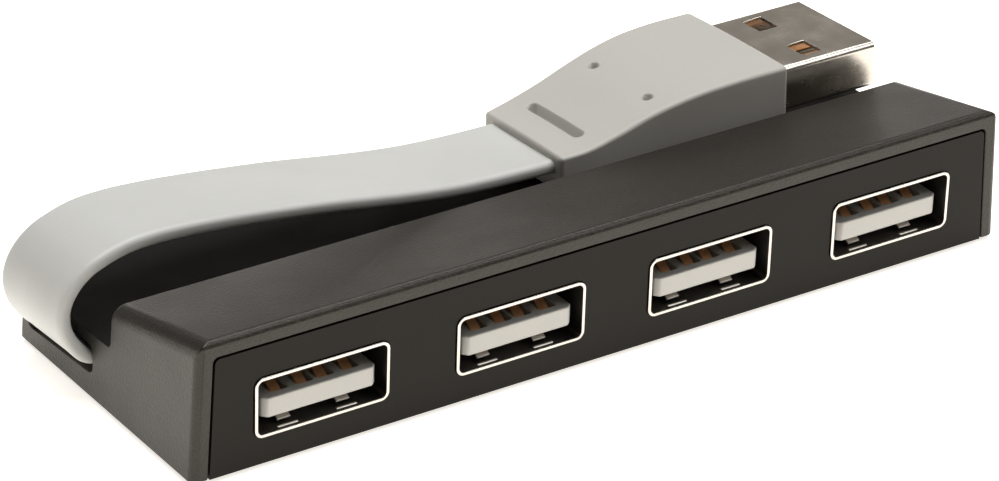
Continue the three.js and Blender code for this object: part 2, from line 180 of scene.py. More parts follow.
@dataclass(frozen=True)
class Moulded:
    """Moulded plastic or rubber: a grained skin with slightly uneven colour and gloss."""

    name: str
    slot: str
    colour: Triple
    roughness: float = 0.5
    specular: float = 0.5
    tint: Triple = (1.0, 1.0, 1.0)
    grain: float = 0.0002
    depth: float = 0.00001
    mottle: float = 0.06
    haze: float = 0.05

    def material(self) -> bpy.types.Material:
        """Returns the material, made once."""
        made = bpy.data.materials.get(self.name)
        if made:
            return made
        sketch = Sketch(self.name)
        grain = sketch.noise(self.grain, detail=3.0)
        cloud = sketch.noise(0.006, detail=3.0)
        sketch.set(Specular_IOR_Level=self.specular, Specular_Tint=(*self.tint, 1))
        sketch.feed("Base Color", sketch.shade(grain, self.colour, self.mottle))
        sketch.feed("Roughness", sketch.span(cloud, self.roughness - self.haze, self.roughness + self.haze))
        sketch.feed("Normal", sketch.bump(grain, self.depth))
        return sketch.material


@dataclass(frozen=True)
class Plated:
    """Plated or rolled metal: bright, with a faint rolled grain, smears and fine pits."""

    name: str
    slot: str
    colour: Triple
    roughness: float = 0.25
    smear: float = 0.06
    pit: float = 0.0003
    depth: float = 0.000004
    along: Triple = (0.15, 1.0, 1.0)
    metallic: float = 1.0

    def material(self) -> bpy.types.Material:
        """Returns the material, made once."""
        made = bpy.data.materials.get(self.name)
        if made:
            return made
        sketch = Sketch(self.name)
        rolled = sketch.noise(self.pit, detail=2.0, place=sketch.stretched(sketch.place, self.along))
        cloud = sketch.noise(0.003, detail=4.0)
        sketch.set(Metallic=self.metallic)
        sketch.feed("Base Color", sketch.shade(cloud, self.colour, self.smear))
        sketch.feed("Roughness", sketch.span(cloud, self.roughness - 0.05, self.roughness + 0.07))
        sketch.feed("Normal", sketch.bump(rolled, self.depth))
        return sketch.material


@dataclass(frozen=True)
class Jacket:
    """The cable's soft jacket: smooth, with faint streaks along it from the extruder."""

    name: str
    slot: str
    colour: Triple
    roughness: float = 0.42

    def material(self) -> bpy.types.Material:
        """Returns the material, made once. Its streaks follow the UV map: u round, v along."""
        sketch = Sketch(self.name)
        uv = sketch.nodes.new("ShaderNodeUVMap")
        uv.uv_map = "along"
        streak = sketch.noise(0.02, detail=2.0, place=sketch.stretched(uv.outputs["UV"], (1.0, 0.04, 1.0)))
        skin = sketch.noise(0.0004, detail=3.0)
        cloud = sketch.noise(0.008, detail=3.0)
        sketch.set(Specular_IOR_Level=0.5, Subsurface_Weight=0.12, Subsurface_Scale=0.0012)
        sketch.set(Subsurface_Radius=(1.0, 0.9, 0.8))
        sketch.feed("Base Color", sketch.shade(cloud, self.colour, 0.03))
        sketch.feed("Roughness", sketch.span(streak, self.roughness - 0.05, self.roughness + 0.06))
        relief = sketch.bump(streak, 0.000012)
        sketch.feed("Normal", sketch.bump(skin, 0.000003, under=relief))
        return sketch.material


@dataclass(frozen=True)
class Laminate:
    """The circuit board: green mask over a glass weave, with pale edges of copper tracks."""

    name: str
    slot: str
    colour: Triple

    def material(self) -> bpy.types.Material:
        """Returns the material, made once."""
        sketch = Sketch(self.name)
        weave = sketch.cells(0.0012)
        sketch.set(Roughness=0.3, Coat_Weight=0.3, Coat_Roughness=0.15)
        sketch.feed("Base Color", sketch.shade(weave, self.colour, 0.2))
        sketch.feed("Normal", sketch.bump(weave, 0.00002))
        return sketch.material


WARM = (1.0, 0.95, 0.87)
HOUSING_SKIN = Moulded(
    "housing_skin", "housing_plastic", (0.0165, 0.0143, 0.0113), roughness=0.37, specular=0.48,
    tint=WARM, grain=0.0002, depth=0.00005, mottle=0.38, haze=0.03,
)
PANEL_SKIN = Moulded(
    "panel_skin", "panel_plastic", (0.0100, 0.0089, 0.0070), roughness=0.36, specular=0.16,
    tint=WARM, grain=0.00014, depth=0.000008, mottle=0.1, haze=0.03,
)
# Painted shade: the groove's floor is the shell's own plastic, coloured darker where the ridge and cable
# shade it.
GROOVE_PAINTED_SHADE = Moulded(
    "groove_painted_shade", "housing_plastic", (0.0055, 0.0050, 0.0042), roughness=0.5, specular=0.12,
    grain=0.0003, depth=0.00001,
)
COVER_SKIN = Moulded(
    "cover_skin", "cover_plastic", (0.022, 0.021, 0.02), roughness=0.55, grain=0.0002, depth=0.00002,
)
FOOT_RUBBER = Moulded(
    "foot_rubber_skin", "foot_rubber", (0.02, 0.02, 0.02), roughness=0.85, specular=0.3, grain=0.0003,
)
TONGUE_SKIN = Moulded(
    "tongue_skin", "tongue_plastic", (0.62, 0.6, 0.555), roughness=0.45, grain=0.00025,
    depth=0.000006, mottle=0.02,
)
BOOT_SKIN = Moulded(
    "boot_skin", "boot_plastic", (0.5, 0.483, 0.445), roughness=0.5, specular=0.4, grain=0.0002,
    depth=0.000006, mottle=0.02,
)
CHIP_RESIN = Moulded("chip_skin", "chip_resin", (0.02, 0.02, 0.022), roughness=0.55)
CAPACITOR_RESIN = Moulded("capacitor_skin", "capacitor_resin", (0.6, 0.38, 0.07), roughness=0.4)
FUSE_COAT = Moulded("fuse_skin", "fuse_green", (0.05, 0.26, 0.1), roughness=0.4)
NICKEL = Plated("nickel_plate", "shell_nickel", (0.74, 0.69, 0.62), roughness=0.2)
PLUG_NICKEL = Plated(
    "plug_nickel", "shell_nickel", (0.7, 0.65, 0.58), roughness=0.24, pit=0.0002, depth=0.000006,
)
# Painted shade: dark nickel for the port shells' inner faces, where the inside lies in shade.
NICKEL_PAINTED_SHADE = Plated("nickel_inside_painted_shade", "shell_nickel", (0.11, 0.102, 0.092), roughness=0.38)
TAB_NICKEL = Plated("nickel_tabs", "shell_nickel", (0.55, 0.52, 0.47), roughness=0.35)
COPPER = Plated(
    "contact_plate", "contact_copper", (1.0, 0.5, 0.24), roughness=0.42, smear=0.12, metallic=0.55,
)
SCREW_STEEL = Plated("zinc_plate", "screw_steel", (0.5, 0.5, 0.48), roughness=0.35)
CAN_METAL = Plated("can_plate", "can_metal", (0.6, 0.6, 0.6), roughness=0.3)
BOARD_MASK = Laminate("board_mask", "board_laminate", (0.03, 0.16, 0.07))
CABLE_SKIN = Jacket("cable_skin", "cable_jacket", (0.58, 0.58, 0.555))
WIRE_COLOURS = {
    "red": (0.5, 0.03, 0.03),
    "white": (0.72, 0.72, 0.68),
    "green": (0.04, 0.32, 0.09),
    "black": (0.015, 0.015, 0.015),
}

Finish = Moulded | Plated | Jacket | Laminate


# ---- meshes ---------------------------------------------------------------------------


def smoothstep(value: np.ndarray) -> np.ndarray:
    """Returns 0 below 0, 1 above 1 and 3t^2 - 2t^3 between."""
    t = np.clip(value, 0.0, 1.0)
    return t * t * (3.0 - 2.0 * t)


def through(knots: np.ndarray, values: np.ndarray, at: np.ndarray) -> np.ndarray:
    """Returns a smooth curve through the values, read at the places asked for.

    Each stretch is a cubic Hermite whose end slopes are the mean slopes of the stretches beside
    that knot. values may have several columns.
    """
    slopes = np.gradient(values, knots, axis=0)
    i = np.clip(np.searchsorted(knots, at, side="right") - 1, 0, len(knots) - 2)
    width = knots[i + 1] - knots[i]
    t = (at - knots[i]) / width
    if values.ndim == 2:
        width = width[:, None]
        t = t[:, None]
    h00 = 2 * t**3 - 3 * t**2 + 1
    h10 = t**3 - 2 * t**2 + t
    h01 = -2 * t**3 + 3 * t**2
    h11 = t**3 - t**2
    return h00 * values[i] + h10 * width * slopes[i] + h01 * values[i + 1] + h11 * width * slopes[i + 1]


def arc_inset(depth: np.ndarray, radius: float) -> np.ndarray:
    """Returns how far a rounded edge is turned in, r - sqrt(r^2 - (r - d)^2), at each depth d."""
    short = radius - np.clip(depth, 0.0, radius)
    return radius - np.sqrt(radius**2 - short**2)


def run_along(points: np.ndarray) -> np.ndarray:
    """Returns each point's distance from the first, along the line through them."""
    return np.concatenate([[0.0], np.cumsum(np.linalg.norm(np.diff(points, axis=0), axis=1))])


def square_to(line: np.ndarray) -> np.ndarray:
    """Returns the unit normal at each point of a flat curve, to the left of its heading."""
    heading = np.gradient(line, axis=0)
    heading /= np.linalg.norm(heading, axis=1, keepdims=True)
    return np.stack([-heading[:, 1], heading[:, 0]], axis=-1)


def corners_of(mesh: bpy.types.Mesh) -> np.ndarray:
    """Returns the mesh's vertices as rows."""
    points = np.zeros(len(mesh.vertices) * 3)
    mesh.vertices.foreach_get("co", points)
    return points.reshape(-1, 3)


def faces_of(mesh: bpy.types.Mesh) -> tuple[np.ndarray, np.ndarray]:
    """Returns the middle and the normal of each face as rows."""
    middles = np.zeros(len(mesh.polygons) * 3)
    normals = np.zeros(len(mesh.polygons) * 3)
    mesh.polygons.foreach_get("center", middles)
    mesh.polygons.foreach_get("normal", normals)
    return middles.reshape(-1, 3), normals.reshape(-1, 3)


def as_column(shares: tuple[float, ...]) -> np.ndarray:
    """Returns the shares shaped so that each multiplies a whole ring of points."""
    return np.array(shares)[:, None, None]


def strip_quads(rows: int, columns: int, closed: bool) -> np.ndarray:
    """Returns the quads between neighbouring rows of a grid of points.

    Args:
        rows: number of rows.
        columns: points in a row.
        closed: whether each row's last point joins its first.
    """
    steps = columns if closed else columns - 1
    row, column = np.meshgrid(np.arange(rows - 1), np.arange(steps), indexing="ij")
    here = row * columns + column
    right = row * columns + (column + 1) % columns
    return np.stack([here, right, right + columns, here + columns], axis=-1).reshape(-1, 4)


def build_piece(
    name: str, points: np.ndarray, faces: list, finish: Finish, body: Body | None,
) -> bpy.types.Object:
    """Makes a smooth-shaded piece whose faces point outwards, and lets it ride on its body.

    Args:
        name: the piece's name.
        points: vertices in the row frame.
        faces: lists of vertex numbers.
        finish: its finish, whose slot it takes too.
        body: the body that it rides on, or None, where it rides on none.
    """
    mesh = bpy.data.meshes.new(name)
    mesh.from_pydata(points.tolist(), [], faces)
    shape = bmesh.new()
    shape.from_mesh(mesh)
    bmesh.ops.recalc_face_normals(shape, faces=shape.faces)
    shape.to_mesh(mesh)
    shape.free()
    mesh.shade_smooth()
    mesh.materials.append(finish.material())
    piece = add_object(name, mesh)
    if body:
        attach(piece, body.value)
    LOG.info("made %s: %d faces", name, len(mesh.polygons))
    return piece


def sweep(rings: np.ndarray) -> tuple[np.ndarray, list]:
    """Joins closed rings into a skin and closes its two ends with fans.

    Args:
        rings: an array of rings, points and coordinates.

    Returns:
        the vertices and the faces. The two vertices after the rings are the fans' centres, each
        the mean of its ring.
    """
    count, around, _ = rings.shape
    centres = rings[[Side.START.value, Side.END.value]].mean(axis=1)
    points = np.concatenate([rings.reshape(-1, 3), centres])
    quads = strip_quads(count, around, closed=True)
    edge = np.arange(around)
    after = (edge + 1) % around
    first = np.stack([np.full(around, count * around), after, edge], axis=-1)
    last_row = (count - 1) * around
    last = np.stack([np.full(around, count * around + 1), last_row + edge, last_row + after], axis=-1)
    return points, quads.tolist() + first.tolist() + last.tolist()


def corner_arc(centre: np.ndarray, radius: np.ndarray, start: float, steps: int) -> np.ndarray:
    """Returns a quarter circle for each ring: centre + radius * (cos a, sin a), a from start."""
    angle = start + np.linspace(0.0, math.pi / 2, steps, endpoint=False)
    turn = np.stack([np.cos(angle), np.sin(angle)], axis=-1)
    return centre[:, None, :] + radius[:, None, None] * turn


def straight(start: np.ndarray, end: np.ndarray, steps: int) -> np.ndarray:
    """Returns points from start towards end for each ring: start + (end - start) * t, t under 1."""
    t = np.linspace(0.0, 1.0, steps, endpoint=False)[:, None]
    return start[:, None, :] + (end - start)[:, None, :] * t


@dataclass(frozen=True)
class RoundedSection:
    """A rounded rectangle, and how many points each of its stretches has."""

    across: int = 24
    upright: int = 10
    corner: int = 8

    def rings(
        self, half: np.ndarray, low: np.ndarray, high: np.ndarray,
        low_radius: np.ndarray, high_radius: np.ndarray,
    ) -> np.ndarray:
        """Returns one anticlockwise ring of (v, n) points for each set of sizes.

        Args:
            half: half the width.
            low: height of the underside.
            high: height of the top.
            low_radius: radius of the two lower corners.
            high_radius: radius of the two upper corners.
        """
        def at(v: np.ndarray, n: np.ndarray) -> np.ndarray:
            """Returns the pairs as rows."""
            return np.stack([v, n], axis=-1)

        quarter = math.pi / 2
        return np.concatenate([
            straight(at(-half + low_radius, low), at(half - low_radius, low), self.across),
            corner_arc(at(half - low_radius, low + low_radius), low_radius, -quarter, self.corner),
            straight(at(half, low + low_radius), at(half, high - high_radius), self.upright),
            corner_arc(at(half - high_radius, high - high_radius), high_radius, 0.0, self.corner),
            straight(at(half - high_radius, high), at(-half + high_radius, high), self.across),
            corner_arc(at(-half + high_radius, high - high_radius), high_radius, quarter, self.corner),
            straight(at(-half, high - high_radius), at(-half, low + low_radius), self.upright),
            corner_arc(at(-half + low_radius, low + low_radius), low_radius, 2 * quarter, self.corner),
        ], axis=1)


# Metres: points nearer than WELD join, and an edge shorter than SLIVER goes.
WELD = 0.000002
SLIVER = 0.000001
FLAT_ANGLE = math.radians(0.8)
SHARP_ANGLE = math.radians(35)
# A face gets the painted shade where it looks at the middle line from further off than this.
SHADE_REACH = 0.0005


def paint_inner_shade(piece: bpy.types.Object, inner_shade: Finish, centre: Vector, along: int) -> None:
    """Paints shade inside a hollow piece: the faces that look towards its middle line get a second, darker
    finish.

    Args:
        piece: the hollow piece.
        inner_shade: the finish of its inner faces.
        centre: a point on the middle line.
        along: the number of the axis that the middle line follows.
    """
    mesh = piece.data
    mesh.materials.append(inner_shade.material())
    middles, normals = faces_of(mesh)
    inward = np.array(centre) - middles
    inward[:, along] = 0.0
    facing = (inward * normals).sum(axis=1) > SHADE_REACH
    mesh.polygons.foreach_set("material_index", facing.astype(np.int32))


def finer(
    node: str, finish: Finish, body: Body, edge: float, segments: int = 2, flats: bool = False,
) -> bpy.types.Object:
    """Copies a CAD node, closes its triangles into one skin, softens its edges and replaces it.

    Args:
        node: the CAD node.
        finish: its finish.
        body: the body that it rides on.
        edge: width of the softened edge, in metres, or 0 for smooth shading alone.
        segments: facets across that edge.
        flats: whether its faces are all flat, so that nothing is shaded as one curve.
    """
    source = frame["nodes"][node].data
    faces = [tuple(polygon.vertices) for polygon in source.polygons]
    mesh = bpy.data.meshes.new(node + "_fine")
    mesh.from_pydata(corners_of(source).tolist(), [], faces)
    shape = bmesh.new()
    shape.from_mesh(mesh)
    bmesh.ops.remove_doubles(shape, verts=shape.verts, dist=WELD)
    bmesh.ops.dissolve_degenerate(shape, dist=SLIVER, edges=shape.edges)
    bmesh.ops.dissolve_limit(shape, angle_limit=FLAT_ANGLE, verts=shape.verts, edges=shape.edges)
    shape.to_mesh(mesh)
    shape.free()
    if not flats:
        mesh.shade_smooth()
    mesh.materials.append(finish.material())
    piece = add_object(node + "_fine", mesh)
    if edge:
        bevel = piece.modifiers.new("edge", "BEVEL")
        bevel.width = edge
        bevel.segments = segments
        bevel.limit_method = "ANGLE"
        bevel.angle_limit = SHARP_ANGLE
        bevel.use_clamp_overlap = False
        bevel.miter_outer = "MITER_ARC"
    if not flats:
        weigh = piece.modifiers.new("flats", "WEIGHTED_NORMAL")
        weigh.keep_sharp = False
    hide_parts(node)
    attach(piece, body.value)
    LOG.info("refined %s: %d faces before its edges", node, len(mesh.polygons))
    return piece


STRIP_SECTION = RoundedSection(across=6, upright=2, corner=3)
STRIP_STEPS = 40
STRIP_ROUNDING = 0.3


def ribbon(
    name: str, path: np.ndarray, middle: float, width: float, thick: float, finish: Finish,
) -> bpy.types.Object:
    """Makes a bent metal strip that runs along Y on the housing.

    Each point of the path carries a rounded rectangle square to it, width along X and thick
    across the path.

    Args:
        name: the piece's name.
        path: (y, z) points along the strip.
        middle: x of its centre line.
        width: its width.
        thick: the metal's thickness.
        finish: its finish.
    """
    knots = run_along(path)
    line = through(knots, path, np.linspace(0.0, knots[-1], STRIP_STEPS))
    ones = np.ones(len(line))
    radius = ones * thick * STRIP_ROUNDING
    flat = STRIP_SECTION.rings(ones * width / 2, -ones * thick / 2, ones * thick / 2, radius, radius)
    place = line[:, None, :] + square_to(line)[:, None, :] * flat[:, :, 1:]
    rings = np.concatenate([middle + flat[:, :, :1], place], axis=-1)
    points, faces = sweep(rings)
    return build_piece(name, points, faces, finish, Body.HOUSING)


# ---- housing --------------------------------------------------------------------------

# Metres: the smallest ring of a screw's face, and how near to a level a point counts as on it.
SCREW_MIDDLE = 0.00002
SKIN_DEPTH = 0.00001


@dataclass
class Housing:
    """The wedge shell, its front panel, the bottom cover, the feet and the screws."""

    shell_edge: float = 0.00012
    cover_edge: float = 0.0002
    foot_edge: float = 0.00025
    feet: int = 4
    screws: int = 2
    head_radius: float = 0.002
    cross_reach: float = 0.0012
    cross_width: float = 0.00045
    cross_depth: float = 0.00035
    cross_soft: float = 0.00012
    face_share: float = 0.8
    face_rings: int = 22
    screw_sides: int = 64
    ridge_back: float = -0.0001
    floor_low: float = 0.005
    level_enough: float = 0.9
    hole_gap: float = 0.0003
    hole_reach: float = 1.5
    hairline: float = 0.00012

    def build(self) -> None:
        """Refines the plastics and feet and makes the screws."""
        self.paint_groove_shade(finer("top_shell", HOUSING_SKIN, Body.HOUSING, self.shell_edge))
        self.close_gaps(finer("front_panel", PANEL_SKIN, Body.HOUSING, 0.0, flats=True))
        finer("bottom_cover", COVER_SKIN, Body.HOUSING, self.cover_edge)
        for number in range(1, self.feet + 1):
            finer(f"foot_{number}", FOOT_RUBBER, Body.HOUSING, self.foot_edge, segments=3)
        for number in range(1, self.screws + 1):
            self.screw(number)

    def paint_groove_shade(self, shell: bpy.types.Object) -> None:
        """Paints shade on the groove's floor: the level faces behind the ridge get a darker, smoother finish.
        """
        mesh = shell.data
        mesh.materials.append(GROOVE_PAINTED_SHADE.material())
        middles, normals = faces_of(mesh)
        level = normals[:, 2] > self.level_enough
        # Painted shade: the level faces behind the ridge, where the groove lies in shade.
        floor = level & (middles[:, 1] > self.ridge_back) & (middles[:, 2] > self.floor_low)
        mesh.polygons.foreach_set("material_index", floor.astype(np.int32))

    def close_gaps(self, panel: bpy.types.Object) -> None:
        """Brings the panel's edges nearer to the shell and the sockets, to a hairline.

        Points round a socket's hole are scaled towards its centre. The rest are the panel's
        outline: its ends move outwards and its top moves up, and its lower edge stays.
        """
        mesh = panel.data
        points = corners_of(mesh)
        low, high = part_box("front_panel")
        outer = np.ones(len(points), dtype=bool)
        for number in range(1, PORTS + 1):
            near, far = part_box(f"port_shell_{number}")
            centre = np.array((near + far) / 2)[[0, 2]]
            half = np.array((far - near) / 2)[[0, 2]]
            away = points[:, [0, 2]] - centre
            hole = (np.abs(away) < half + self.hole_reach * self.hole_gap).all(axis=1)
            scaled = centre + away * (half + self.hairline) / (half + self.hole_gap)
            points[:, [0, 2]] = np.where(hole[:, None], scaled, points[:, [0, 2]])
            outer &= ~hole
        reach = self.hole_gap - self.hairline
        wider = points[:, 0] * (high.x + reach) / high.x
        taller = low.z + (points[:, 2] - low.z) * (high.z - low.z + reach) / (high.z - low.z)
        points[:, 0] = np.where(outer, wider, points[:, 0])
        points[:, 2] = np.where(outer, taller, points[:, 2])
        mesh.vertices.foreach_set("co", points.ravel())
        mesh.update()

    def arm(self, across: np.ndarray, along: np.ndarray) -> np.ndarray:
        """Returns 1 inside one arm of the screw's cross and 0 outside, with a soft edge."""
        inside = smoothstep((self.cross_width / 2 - np.abs(across)) / self.cross_soft + 0.5)
        return inside * smoothstep((self.cross_reach - np.abs(along)) / self.cross_soft + 0.5)

    def screw(self, number: int) -> None:
        """Makes a pan-head screw with a cross recess.

        Its outline (radius, height) is turned about the screw's axis, and the head's face is
        pushed in where the point lies within either arm of the cross.
        """
        low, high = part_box(f"cover_screw_{number}")
        centre = (low + high) / 2
        head = self.head_radius
        radii = np.linspace(SCREW_MIDDLE, head * self.face_share, self.face_rings)
        face = np.stack([radii, np.full(self.face_rings, low.z)], axis=-1)
        rest = np.array([
            [head * 0.93, low.z + 0.00008], [head, low.z + 0.00022], [head, low.z + 0.0005],
            [head * 0.4, low.z + 0.0005], [head * 0.37, low.z + 0.0006], [head * 0.37, high.z - 0.0004],
            [head * 0.2, high.z],
        ])
        outline = np.concatenate([face, rest])
        angle = np.linspace(0.0, 2 * math.pi, self.screw_sides, endpoint=False)
        x = outline[:, :1] * np.cos(angle)
        y = outline[:, :1] * np.sin(angle)
        z = np.repeat(outline[:, 1:], len(angle), axis=1)
        arm_x = self.arm(across=y, along=x)
        arm_y = self.arm(across=x, along=y)
        on_face = z < low.z + SKIN_DEPTH
        z = z + np.where(on_face, self.cross_depth * np.maximum(arm_x, arm_y), 0.0)
        rings = np.stack([x + centre.x, y + centre.y, z], axis=-1)
        points, faces = sweep(rings)
        piece = build_piece(f"cross_screw_{number}", points, faces, SCREW_STEEL, Body.HOUSING)
        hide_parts(f"cover_screw_{number}")


@dataclass
class Socket:
    """One receptacle: its shell, its tongue, four sprung contacts and two spring tabs."""

    number: int
    rim_edge: float = 0.00006
    tongue_edge: float = 0.00014
    contact_width: float = 0.001
    contact_thick: float = 0.00018
    tab_left: float = -0.00315
    tab_right: float = 0.0026
    tab_width: float = 0.0013
    tab_thick: float = 0.00025
    lip_width: float = 0.002
    lip_thick: float = 0.0001
    sheet: float = 0.0003

    def build(self) -> None:
        """Makes every piece of the socket."""
        shell = finer(f"port_shell_{self.number}", NICKEL, Body.HOUSING, self.rim_edge)
        low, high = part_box(f"port_shell_{self.number}")
        # Painted shade on the shell's inner faces.
        paint_inner_shade(shell, NICKEL_PAINTED_SHADE, (low + high) / 2, along=1)
        finer(f"port_tongue_{self.number}", TONGUE_SKIN, Body.HOUSING, self.tongue_edge)
        for contact in range(1, CONTACTS + 1):
            self.contact(contact)
        for side in (-1, 1):
            self.tab(side)

    def contact(self, contact: int) -> None:
        """Makes one sprung contact: it rises from its groove to a crown, then dips to its tip."""
        node = f"port_contact_{self.number}_{contact}"
        low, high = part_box(node)
        middle = (low.x + high.x) / 2
        path = np.array([
            [low.y, high.z - 0.00042], [low.y + 0.0004, high.z - 0.00015], [low.y + 0.0011, high.z + 0.00028],
            [low.y + 0.0019, high.z + 0.00068], [low.y + 0.0027, high.z + 0.00082],
            [low.y + 0.0036, high.z + 0.00066], [low.y + 0.0048, high.z + 0.0002], [high.y, high.z - 0.0001],
        ])
        piece = ribbon(
            f"spring_contact_{self.number}_{contact}", path, middle,
            self.contact_width, self.contact_thick, COPPER,
        )
        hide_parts(node)

    def tab(self, side: int) -> None:
        """Makes one spring tab of the shell's floor and the small lip in front of its cut-out."""
        low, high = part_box(f"port_shell_{self.number}")
        middle = (low.x + high.x) / 2 + (self.tab_left if side < 0 else self.tab_right)
        floor = low.z + self.sheet
        front = low.y
        path = np.array([
            [front + 0.0062, floor + 0.00008], [front + 0.0046, floor + 0.0004],
            [front + 0.0033, floor + 0.00068], [front + 0.0025, floor + 0.00075],
            [front + 0.0017, floor + 0.0006], [front + 0.0011, floor + 0.00022],
        ])
        which = "left" if side < 0 else "right"
        ribbon(f"spring_tab_{self.number}_{which}", path, middle, self.tab_width, self.tab_thick, TAB_NICKEL)
        lip = np.array([
            [front + 0.00038, floor - 0.00006], [front + 0.00048, floor + 0.00003],
            [front + 0.00058, floor + 0.00003], [front + 0.00068, floor - 0.00006],
        ])
        ribbon(f"tab_lip_{self.number}_{which}", lip, middle, self.lip_width, self.lip_thick, TAB_NICKEL)


@dataclass
class Electronics:
    """What is closed inside the housing: the board, its parts, the lead's anchor and wires."""

    edge: float = 0.0001

    def build(self) -> None:
        """Dresses each piece and softens its edges."""
        dressed = {
            "circuit_board": BOARD_MASK,
            "hub_controller": CHIP_RESIN,
            "voltage_regulator": CHIP_RESIN,
            "crystal": CAN_METAL,
            "polyfuse": FUSE_COAT,
            "tank_capacitor": CAPACITOR_RESIN,
            "port_capacitor": CAPACITOR_RESIN,
            "cable_anchor": BOOT_SKIN,
        }
        for node, finish in dressed.items():
            finer(node, finish, Body.HOUSING, self.edge)
        for name, colour in WIRE_COLOURS.items():
            insulation = Moulded(f"insulation_{name}", f"wire_{name}", colour, roughness=0.35, grain=0.0005)
            finer(f"wire_{name}", insulation, Body.HOUSING, 0.0)


# ---- lead -----------------------------------------------------------------------------


@dataclass(frozen=True)
class LeadAxes:
    """The lead's own axes, found from the hinge that it swings on."""

    hinge_x: float = -0.0426
    hinge_n: float = -0.00178

    def turn(self) -> np.ndarray:
        """Returns the rows x, v and n of the lead's axes, from the hinge's axis, which is -v."""
        v = -np.array(frame["joints"][0]["axis"], float)
        x = np.array([1.0, 0.0, 0.0])
        return np.stack([x, v, np.cross(x, v)])

    def place(self, points: np.ndarray) -> np.ndarray:
        """Returns (x, v, n) points in the row frame."""
        pivot = np.array(frame["joints"][0]["pos_m"], float)
        return pivot + (points - [self.hinge_x, 0.0, self.hinge_n]) @ self.turn()


@dataclass
class FlatCable:
    """The flat cable: a rounded strip carried along its route from the anchor to the boot."""

    axes: LeadAxes
    width: float = 0.0103
    thick: float = 0.0013
    corner: float = 0.00058
    bead: float = 0.00004
    bead_width: float = 0.0009
    bead_fade: float = 0.0007
    spacing: float = 0.00025
    fine_steps: int = 2000
    # Centre line as (x, n), from inside the slot, round the bend and along the groove.
    route: tuple[tuple[float, float], ...] = (
        (-0.0345, -0.00268), (-0.0370, -0.00271), (-0.0394, -0.00273), (-0.0413, -0.00263),
        (-0.04235, -0.00218), (-0.04308, -0.00140), (-0.04384, -0.00018), (-0.0442, 0.00097),
        (-0.0442, 0.00217), (-0.0438, 0.00336), (-0.04294, 0.00453), (-0.04168, 0.00552),
        (-0.0400, 0.00622), (-0.0380, 0.00674), (-0.0350, 0.00694), (-0.0320, 0.00682),
        (-0.0275, 0.00642), (-0.0230, 0.00589), (-0.0180, 0.00522), (-0.0135, 0.00449),
        (-0.0090, 0.00380), (-0.0050, 0.00332), (-0.0010, 0.00306), (0.0020, 0.00296),
        (0.0050, 0.00290), (0.0061, 0.00288),
    )
    # The two ends of the bend, as (x, n) points; in the real lead the bend opens between them when it lifts.
    bend_start: tuple[float, float] = (-0.0425, -0.00209)
    bend_end: tuple[float, float] = (-0.0425, -0.00020)
    exit_point: tuple[float, float] = (-0.04235, -0.00218)

    def line(self) -> np.ndarray:
        """Returns the centre line as (x, n) points, evenly spaced along a smooth curve."""
        route = np.array(self.route)
        knots = run_along(route)
        fine = through(knots, route, np.linspace(0.0, knots[-1], self.fine_steps))
        run = run_along(fine)
        at = np.linspace(0.0, run[-1], int(run[-1] / self.spacing))
        return np.stack([np.interp(at, run, fine[:, 0]), np.interp(at, run, fine[:, 1])], axis=-1)

    def build(self, on_it: list) -> None:
        """The section is a rounded rectangle with a low bead along each edge, set square to the
        centre line at each step.

        Args:
            on_it: the pieces and CAD nodes at the cable's end; not used.
        """
        line = self.line()
        ones = np.ones(len(line))
        half = self.thick / 2
        section = RoundedSection(across=34, upright=2, corner=9)
        flat = section.rings(
            ones * self.width / 2, -ones * half, ones * half, ones * self.corner, ones * self.corner,
        )
        from_edge = self.width / 2 - np.abs(flat[:, :, 0])
        hollow = smoothstep((from_edge - self.bead_width) / self.bead_fade)
        flat[:, :, 1] *= 1.0 - self.bead / half * hollow
        place = line[:, None, :] + square_to(line)[:, None, :] * flat[:, :, 1:]
        rings = np.stack([place[:, :, 0], flat[:, :, 0], place[:, :, 1]], axis=-1)
        points, faces = sweep(self.axes.place(rings.reshape(-1, 3)).reshape(rings.shape))
        piece = build_piece("flat_cable", points, faces, CABLE_SKIN, None)
        self.unwrap(piece, rings.shape[1])
        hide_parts("cable_exit", "cable_arm")
        ends = np.array([
            [self.bend_start[0], 0.0, self.bend_start[1]],
            [self.bend_end[0], 0.0, self.bend_end[1]],
            [self.exit_point[0], 0.0, self.exit_point[1]],
        ])
        start, end, leaves = self.axes.place(ends)
        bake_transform(piece)
        path = self.axes.place(np.stack([line[:, 0], np.zeros(len(line)), line[:, 1]], axis=-1))

    def unwrap(self, piece: bpy.types.Object, around: int) -> None:
        """Gives the cable a UV map: u is the share of the way round, v the distance in centimetres."""
        mesh = piece.data
        layer = mesh.uv_layers.new(name="along")
        corners = np.zeros(len(mesh.loops), dtype=np.int64)
        mesh.loops.foreach_get("vertex_index", corners)
        turn = (corners % around) / around
        turn = np.abs(turn - 0.5) * 2.0
        run = (corners // around) * self.spacing / CM
        layer.data.foreach_set("uv", np.stack([turn, run], axis=-1).astype(np.float32).ravel())


